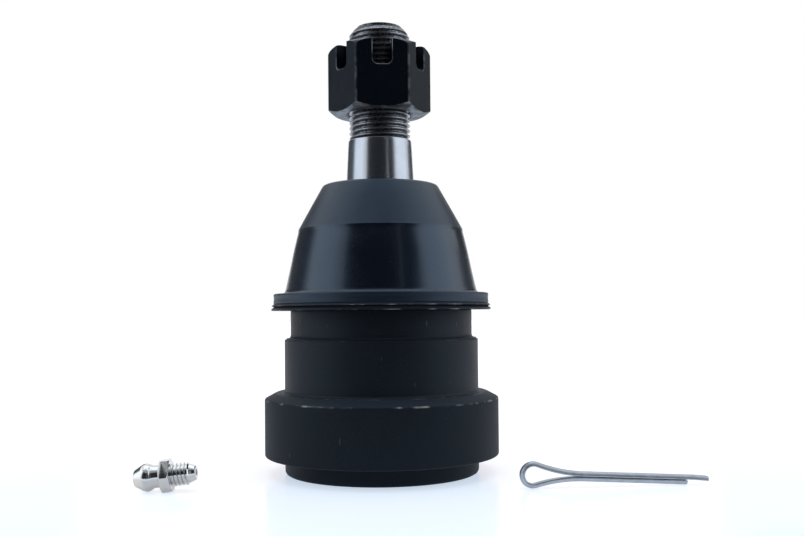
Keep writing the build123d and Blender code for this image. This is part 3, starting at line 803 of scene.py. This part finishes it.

# %% [markdown]
# The nut is blackened steel: nearly black, a little oily, with fine pits from forging and
# thin bright lines along its edges, corners and ends that are partly wrench wear and partly
# painted highlights.

# %% Blackened nut
black = Finish("blackened_steel", Specular_IOR_Level=0.27, Specular_Tint=(0.56, 0.77, 1, 1))
pits, cloud = black.grain(2400, 3), black.grain(200, 4)
# painted highlight and wear: the marked faces are painted as bright bare metal
rubbed = black.node("ShaderNodeAttribute", {"attribute_name": "rubbed"}, output="Fac")
rubbed = rubbed * (0.3 + black.between(black.grain(300, 4), 0.4, 0.6) * 0.7)
chips = black.specks(1100, 0.1)
bright = black.between(rubbed * 0.8 + chips * 0.25, 0, 1)
black.paint(
    Base_Color=black.mix(bright, (0.001, 0.0022, 0.006), (0.42, 0.46, 0.5)),
    Metallic=bright,
    Roughness=0.3 + cloud * 0.2,
)
black.emboss(pits, 0.03, 0.6)
nut_steel = black.material
print("nut:", nut_steel.name)

# %% [markdown]
# The cotter pin is plain zinc-plated wire, dull and bluish. Its drawing marks are noise that
# is squeezed until the clouds are long along the wire.

# %% Zinc plate
zinc = Finish("dull_zinc", Metallic=0.9)
spangle, drawn = zinc.grain(600, 4), zinc.grain(2600, 2, (0.05, 1, 1))
zinc.paint(
    Base_Color=zinc.mix(spangle, (0.27, 0.31, 0.36), (0.55, 0.60, 0.66)),
    Roughness=0.3 + spangle * 0.25,
)
zinc.emboss(drawn, 0.02, 0.5)
zinc_plate = zinc.material
print("pin:", zinc_plate.name)

# %% [markdown]
# Now every piece gets its finish, takes the place of its solid and rides on its body. Solids
# whose shape is already right keep it and only get the finish. The two boot shells have no
# parent.

# %% Dress the joint
def finish_piece(piece, material, node):
    """Give a piece its finish and let it stand for its solid."""
    piece.data.materials.clear()
    piece.data.materials.append(material)
    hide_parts(node)


for piece, material, node, slot, body in (
    (housing, coated_steel, "housing", "coated_steel", "housing_body"),
    (stud, stud_steel, "ball_stud", "stud_steel", "stud_body"),
    (nut, nut_steel, "castle_nut", "nut_steel", "nut_body"),
    (fitting, nickel_plate, "grease_fitting", "nickel_plate", "fitting_body"),
    (pin, zinc_plate, "cotter_pin", "zinc_plate", "pin_body"),
):
    finish_piece(piece, material, node)
    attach(piece, body)

finish_piece(skirt, boot_rubber, "boot_skirt")
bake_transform(skirt)
finish_piece(cone, boot_rubber, "boot_cone")
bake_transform(cone)

for node, material in (
    ("boot_ring", ring_steel), ("cover_plate", coated_steel), ("upper_bearing", bearing_steel),
    ("pressure_cup", bearing_steel), ("preload_spring", spring_steel),
    ("check_ball", bearing_steel), ("check_spring", spring_steel),
):
    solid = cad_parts[node]
    for place in solid.material_slots:
        place.material = material
print("dressed", len(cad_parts), "nodes")

# %% [markdown]
# The studio is a white floor in white surroundings. Dark cards on the camera's side give
# polished metal its dark centre between two bright bands, and cards at the back darken the
# edges; they are hidden from the camera itself. A gap between the two front cards draws the
# fine light line on the taper. Real product studios work the same way, with black paper.

# %% Hang the cards
def card(name, start, end, outline, strength):
    """A curved card, turned from one bearing to another in degrees from the camera's side."""
    made = turned(name, outline, around=180, capped=False)
    choose("FACE", lambda face: not start < degrees(atan2(face.center.x, -face.center.y)) < end)
    bpy.ops.mesh.delete(type="FACE")
    bpy.ops.object.mode_set(mode="OBJECT")
    glow = Finish(name, Base_Color=(0, 0, 0, 1), Roughness=1.0, Specular_IOR_Level=0.0,
                  Emission_Color=(0.86, 0.93, 1.0, 1), Emission_Strength=strength)
    made.data.materials.append(glow.material)
    made.visible_camera = made.visible_shadow = made.visible_diffuse = False


FRONT = [(110, 1), (1200, 1), (1200, 1350)]
SIDE_R, SIDE_BOTTOM, SIDE_STEP, SIDE_TOP = 1250, 190, 380, 740
SIDE = [(SIDE_R, SIDE_BOTTOM), (SIDE_R, SIDE_TOP)]
SIDE_LOW = [(SIDE_R, SIDE_BOTTOM), (SIDE_R, SIDE_STEP)]
SIDE_HIGH = [(SIDE_R, SIDE_STEP), (SIDE_R, SIDE_TOP)]
CEILING = [(60, 1400), (1200, 1400)]
for name, start, end, outline, strength in (
    ("front_card_left", -46, 26.5, FRONT, 0.03), ("front_card_right", 28.5, 52, FRONT, 0.03),
    ("side_card_left", -158, -100, SIDE, 0.1), ("side_card_right_low", 118, 158, SIDE_LOW, 0.1),
    ("side_card_right_high", 128, 158, SIDE_HIGH, 0.1), ("ceiling_card", -62, 62, CEILING, 0.4),
):
    card(name, start, end, outline, strength)

# %% [markdown]
# The floor and the surroundings are white in their own colour, and only for camera, glossy and
# transmission rays, so that the white never adds light to the joint. The floor is faintly
# polished and mirrors the joint a little. Near the grease fitting the floor is painted darker in
# reflections only, a painted shadow under the fitting.

# %% Floor and surroundings
def rays(finish, kind):
    """1 for the rays of one kind, or else 0."""
    return finish.node("ShaderNodeLightPath", output=f"Is {kind} Ray")


def seen_rays(finish):
    """1 for the rays that look at a surface, from the camera or in a reflection, or else 0."""
    seen = rays(finish, "Camera") + rays(finish, "Glossy") + rays(finish, "Transmission")
    return finish.between(seen, 0, 1)


FLOOR_SIZE, FLOOR_GAP, MIRROR = 12, 0.05, 0.21
NEAR, FAR, NEAR_WHITE, FAR_WHITE = 150, 700, (0.64, 0.74, 0.87), (0.84, 0.95, 1.1)
HALF_FITTING, SHADE_START, SHADE_END, SHADE = 7.7, 24, 8, 0.5
deselect()
bpy.ops.mesh.primitive_plane_add(size=FLOOR_SIZE, location=(0, 0, -FLOOR_GAP * MM))
floor = bpy.context.object
floor.name = "studio_floor"
paint = Finish("floor_white", Base_Color=(0.8, 0.8, 0.8, 1), Roughness=0.9,
               Specular_IOR_Level=0.0, Emission_Strength=1.0)
away = paint.between(paint.radius(), NEAR, FAR)
fitting_middle = ((FITTING_X + HALF_FITTING) * MM, FITTING_Y * MM, 0)
beside = paint.node("ShaderNodeVectorMath", {"operation": "SUBTRACT"}, {
    0: paint.place, 1: fitting_middle,
})
beside = paint.node("ShaderNodeVectorMath", {"operation": "MULTIPLY"}, {0: beside, 1: (0.45, 1, 0)})
beside = paint.node("ShaderNodeVectorMath", {"operation": "LENGTH"}, {0: beside}, "Value") / MM
# painted shadow: the floor seen in reflections is darker near the grease fitting
shaded = paint.between(beside, SHADE_START, SHADE_END) * rays(paint, "Glossy") * SHADE
seen_floor = paint.mix(away, NEAR_WHITE, FAR_WHITE)
paint.paint(Emission_Color=paint.mix(seen_rays(paint) * (1 - shaded), (0, 0, 0), seen_floor))
gloss = paint.node("ShaderNodeBsdfGlossy", {}, {"Color": (1, 0.6, 0.3, 1), "Roughness": 0.2})
mixed = paint.node("ShaderNodeMixShader", {}, {
    0: MIRROR, 1: Signal(paint, paint.shader.outputs[0]), 2: gloss,
})
paint.tree.links.new(mixed.socket, paint.tree.nodes["Material Output"].inputs["Surface"])
floor.data.materials.append(paint.material)


class Surroundings(Finish):
    """The world's nodes, built round its Background shader."""

    def __init__(self, world):
        world.use_nodes = True
        self.tree = world.node_tree
        self.shader = self.tree.nodes["Background"]


world = bpy.data.worlds.new("studio_white")
bpy.context.scene.world = world
sky = Surroundings(world)
sky.shader.inputs["Color"].default_value = (1, 1, 1, 1)
sky.paint(Strength=0.5 + seen_rays(sky) * 0.5)
print("stage:", floor.name, "and", world.name)

# %% [markdown]
# Soft light comes from large lamps close by: two at the sides, like windows, and a wide panel
# above. Their size matters more than their power, because a large lamp has soft shadows and
# draws a broad, calm highlight on a dark round part. Their light is a cool daylight.

# %% Lamps
DAYLIGHT = (0.7, 0.85, 1)


def lamp(name, spot, size, power):
    """A soft square lamp that looks at the joint's middle."""
    light = bpy.data.lights.new(name, "AREA")
    light.shape, light.size, light.energy, light.color = "SQUARE", size, power, DAYLIGHT
    holder = bpy.data.objects.new(name, light)
    bpy.context.collection.objects.link(holder)
    holder.location = spot
    aim = Vector((0, 0, 60 * MM)) - holder.location
    holder.rotation_euler = aim.to_track_quat("-Z", "Y").to_euler()


lamp("left_window", (-1.0, -0.12, 0.45), 0.9, 1.1)
lamp("right_window", (1.0, -0.12, 0.45), 0.9, 1.1)
lamp("ceiling_panel", (0, 0.1, 1.2), 1.1, 2.5)
print("three lamps")

# %% [markdown]
# The joint is seen from close by and a little above the floor, by a camera that looks up by
# about one degree. A lens of 43 mm gives the perspective: the collar's rings open downward and
# the nut is seen slightly from below. A small lens shift frames it without tilting further.

# %% Camera
LENS, SENSOR, SHIFT, LOOK_UP, LEAN = 43.0, 36, 0.0323, 1.2, 0.47
eye = bpy.data.cameras.new("studio_camera")
eye.lens, eye.sensor_width, eye.shift_y = LENS, SENSOR, SHIFT
camera = bpy.data.objects.new("studio_camera", eye)
bpy.context.collection.objects.link(camera)
camera.location = (0.006, -0.278, 0.0452)
camera.rotation_euler = (radians(90 + LOOK_UP), radians(LEAN), 0)
eye.clip_start, eye.clip_end = 0.01, 20
bpy.context.scene.camera = camera
bpy.context.scene.view_settings.view_transform = "Standard"
print("camera at", [round(part, 4) for part in camera.location])

# %% [markdown]
